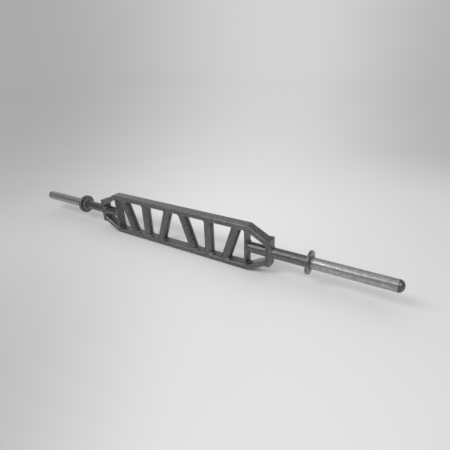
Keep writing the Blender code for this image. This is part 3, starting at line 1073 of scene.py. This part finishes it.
def weld_bead(welds, outline, leg, matrix, ground, seed, limits=(FAR, FAR, SIDE_LIMIT)):
    """Add one bead to the bmesh of welds.

    outline is (half_x, half_y, corner) of the member's end. ground gives the height of the
    face under a point. A seed picks the wander. limits are the furthest x, on either side,
    and y that the bead may reach.
    """
    half_x, half_y, corner = outline
    bm = end_outline(*outline)
    rim = bm.verts.layers.float_vector.new("rim")
    outwards = bm.verts.layers.float_vector.new("outwards")
    full = bm.verts.layers.float.new("full")
    loop = walk_round(bm)
    lengths = [(a.co - b.co).length for a, b in zip(loop, loop[-1:] + loop[:-1])]
    total = sum(lengths)
    walked = 0.0
    for vert, step in zip(loop, lengths):
        walked += step
        core_x = clamp(vert.co.x, corner - half_x, half_x - corner)
        core_y = clamp(vert.co.y, corner - half_y, half_y - corner)
        vert[rim] = vert.co
        vert[outwards] = (vert.co - Vector((core_x, core_y, 0))).normalized()
        vert[full] = fullness(walked / total, total, seed)
    verts = list(bm.verts)
    edges = list(bm.edges)
    section = bead_section(leg)
    for index, (out, rise) in enumerate(section + section[:1]):
        if index:
            verts = only_verts(bmesh.ops.extrude_edge_only(bm, edges=edges)["geom"])
            fresh = set(verts)
            ring = (edge for vert in verts for edge in vert.link_edges if edge.other_vert(vert) in fresh)
            edges = list(dict.fromkeys(ring))
        for vert in verts:
            free = vert[rim] + vert[outwards] * out * vert[full]
            height = rise * vert[full]
            vert.co = free + Z_AXIS * height
            keep_inside(vert, *limits)
            vert.co.z += ground(free) * (1 - clamp(height / leg, 0, 1))
    for layer in (rim, outwards):
        bm.verts.layers.float_vector.remove(layer)
    bm.verts.layers.float.remove(bm.verts.layers.float["full"])
    bmesh.ops.transform(bm, matrix=matrix, verts=bm.verts)
    bmesh.ops.remove_doubles(bm, verts=bm.verts, dist=MERGE_DISTANCE)
    pour(bm, welds)


print("a ring of the bead round a grip has", round(math.tau * GRIP_RADIUS / RIPPLE_PITCH), "ripples")

# %% [markdown]
# ## Where the beads go
# Each grip is welded all round at both rails. The grip is nearly as wide as the rail is
# deep, so at front and back its bead has no flat to lie on: it runs down over the rail's
# rounded corner and is dressed flush with the rail's side.

# %% Beads of the grips
GRIP_LEG = 0.0048
grip_outline = (GRIP_RADIUS, GRIP_RADIUS, GRIP_RADIUS)
rail_ground = falls_off(HALF_DEPTH - RAIL_CORNER, RAIL_CORNER)


def add_welds(what, welds):
    """Add the piece that holds the beads of one or more joints."""
    add_piece("welds_" + what, welds, coat_upright)


for number, (grip, (foot, head)) in enumerate(grip_ends.items()):
    welds = bmesh.new()
    rise = (head - foot) / (head.z - foot.z)
    widen = X_AXIS * rise.length
    low_place = placing(widen, Y_AXIS, rise, Vector((foot.x, 0, RAIL_THICKNESS)))
    high_place = placing(widen, Y_AXIS, -rise, Vector((head.x, 0, FRAME_HEIGHT - RAIL_THICKNESS)))
    weld_bead(welds, grip_outline, GRIP_LEG, low_place, rail_ground, number)
    weld_bead(welds, grip_outline, GRIP_LEG, high_place, rail_ground, number + 0.5)
    add_welds(grip, welds)
print("grip beads:", 2 * len(grips))

# %% [markdown]
# The cross plates stand where rail and diagonal meet. On their inner side the bead lies on
# the level rail, and on their outer side on the diagonal, which climbs away from it. The
# ground function knows both.

# %% Beads of the cross plates
PLATE_LEG = 0.0042
PLATE_SEED = 20
plate_low, plate_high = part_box("cross_plate_right")
plate_middle_x = (plate_low.x + plate_high.x) / 2
plate_half = (plate_high.x - plate_low.x) / 2
climb = -slope.z / slope.x


def corner_ground(point):
    """The rail's rounded sides, and the diagonal that climbs away past the corner."""
    past = max(point.x + plate_middle_x - INNER_CORNER_X, 0)
    return rail_ground(point) + past * climb


plate_outline = (plate_half, HALF_DEPTH, FLAT_BAR_EDGE)
plate_place = placing(X_AXIS, Y_AXIS, Z_AXIS, Vector((plate_middle_x, 0, RAIL_THICKNESS)))
for word, side in SIDES.items():
    welds = bmesh.new()
    for up in LEVELS.values():
        quarter = bmesh.new()
        seed = PLATE_SEED + side + up / 2
        weld_bead(quarter, plate_outline, PLATE_LEG, plate_place, corner_ground, seed)
        flip(quarter, side, -up)
        pour(quarter, welds)
    add_welds("cross_plate_" + word, welds)
print("plate beads:", len(SIDES) * len(LEVELS))

# %% [markdown]
# The shafts are as thick as the frame is deep, so they butt on the plate and on both faces
# of the post. Their beads are full above and below the shaft and dressed flush at front and
# back. At the collar there is room all round, and the bead is a full ring.

# %% Beads of the shafts
SHAFT_LEG = 0.0044
CORNER_LEG = 0.0066  # on the cross plate, which was filled twice
POST_LEG = 0.0056  # outside the post, where the welder had room
COLLAR_LEG = 0.0052
bar_ground = falls_off(HALF_DEPTH - FLAT_BAR_EDGE, FLAT_BAR_EDGE)
shaft_outline = (SHAFT_RADIUS, SHAFT_RADIUS, SHAFT_RADIUS)


def level_ground(point):
    """A flat face."""
    return 0.0


# each bead's face, its way along X over the shaft, its leg, seed, ground and reach in Y
SHAFT_BEADS = {
    "inner_shaft_": [(plate_high.x, 1, CORNER_LEG, 30, bar_ground, SIDE_LIMIT),
                     (POST_INNER_X, -1, SHAFT_LEG, 33, bar_ground, SIDE_LIMIT)],
    "outer_shaft_": [(POST_OUTER_X, 1, POST_LEG, 36, bar_ground, SIDE_LIMIT),
                     (COLLAR_INNER_X, -1, COLLAR_LEG, 39, level_ground, FAR)],
}

for word, side in SIDES.items():
    for shaft, beads in SHAFT_BEADS.items():
        welds = bmesh.new()
        for face_x, way, leg, seed, ground, reach in beads:
            place = placing(Z_AXIS, Y_AXIS, X_AXIS * way, Vector((face_x, 0, AXIS_Z)))
            weld_bead(welds, shaft_outline, leg, place, ground, seed + side, (FAR, FAR, reach))
        flip(welds, side, 1)
        add_welds(shaft + word, welds)
print("shaft beads:", 2 * sum(len(beads) for beads in SHAFT_BEADS.values()))

# %% [markdown]
# Each diagonal ends on the inner face of a post. Its bead is a fillet on the inside of the
# hexagon and is dressed flush on the other three sides. The mitres were welded and ground
# too, and only a low ridge is left of them on the frame's front and back.

# %% Beads of the diagonals
DIAGONAL_LEG = 0.0046
RIDGE_WIDTH = 0.0050
RIDGE_HEIGHT = 0.00028
RIDGE_STEPS = 6
RIDGE_TAPER = 8  # the higher, the more suddenly a ridge ends
RIDGE_REACH = (0.18, 0.82)  # shares of the mitre between which a ridge shows
DIAGONAL_SEED = 50
RIDGE_SEED = 60


def ridge(welds, start, end, side_y, seed):
    """A dressed weld on the frame's front or back: a low ridge from start to end."""
    run = end - start
    count = round(run.length / RIPPLE_PITCH * RIPPLE_STEPS)
    bm = bmesh.new()
    bmesh.ops.create_grid(bm, x_segments=count, y_segments=RIDGE_STEPS, size=0.5)
    for vert in bm.verts:
        along = vert.co.x + 0.5
        across = vert.co.y * 2
        full = fullness(along, run.length, seed)
        taper = 1 - (2 * along - 1) ** RIDGE_TAPER
        rise = RIDGE_HEIGHT * (1 - across ** 2) * taper * full
        vert.co = Vector((along * run.length, across * RIDGE_WIDTH / 2 * full, rise))
    lower = only_verts(bmesh.ops.extrude_face_region(bm, geom=list(bm.faces))["geom"])
    bmesh.ops.translate(bm, vec=(0, 0, -BEAD_ROOT), verts=lower)
    out = Vector((0, side_y, 0))
    direction = run.normalized()
    bmesh.ops.transform(bm, matrix=placing(direction, out.cross(direction), out, start), verts=bm.verts)
    pour(bm, welds)


end_half = RAIL_THICKNESS / 2 / slope.x
end_place = placing(Z_AXIS, Y_AXIS, -slope / slope.x, diagonal_end)
inner_corner = Vector((INNER_CORNER_X, 0, FRAME_HEIGHT - RAIL_THICKNESS))
outer_corner = Vector((CORNER_X, 0, FRAME_HEIGHT))
for level, up in LEVELS.items():
    for word, side in SIDES.items():
        welds = bmesh.new()
        weld_bead(welds, (end_half, HALF_DEPTH, RAIL_CORNER), DIAGONAL_LEG, end_place, bar_ground,
                  DIAGONAL_SEED + side + up / 2, (FAR, end_half + FLUSH, SIDE_LIMIT))
        for side_y in (-1, 1):
            offset = Y_AXIS * side_y * HALF_DEPTH
            ends = [inner_corner.lerp(outer_corner, share) + offset for share in RIDGE_REACH]
            ridge(welds, *ends, side_y, RIDGE_SEED + side + up / 2)
        flip(welds, side, up)
        add_welds(level + "_diagonal_" + word, welds)
print("diagonal beads:", len(SIDES) * len(LEVELS), "and ridges:", 2 * len(SIDES) * len(LEVELS))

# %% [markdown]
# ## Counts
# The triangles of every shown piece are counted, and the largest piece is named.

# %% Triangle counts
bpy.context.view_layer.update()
triangles = {piece.name: sum(len(face.vertices) - 2 for face in piece.data.polygons)
             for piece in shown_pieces()}
print("pieces:", len(triangles), "triangles:", sum(triangles.values()))
print("largest piece:", max(triangles, key=triangles.get), max(triangles.values()))
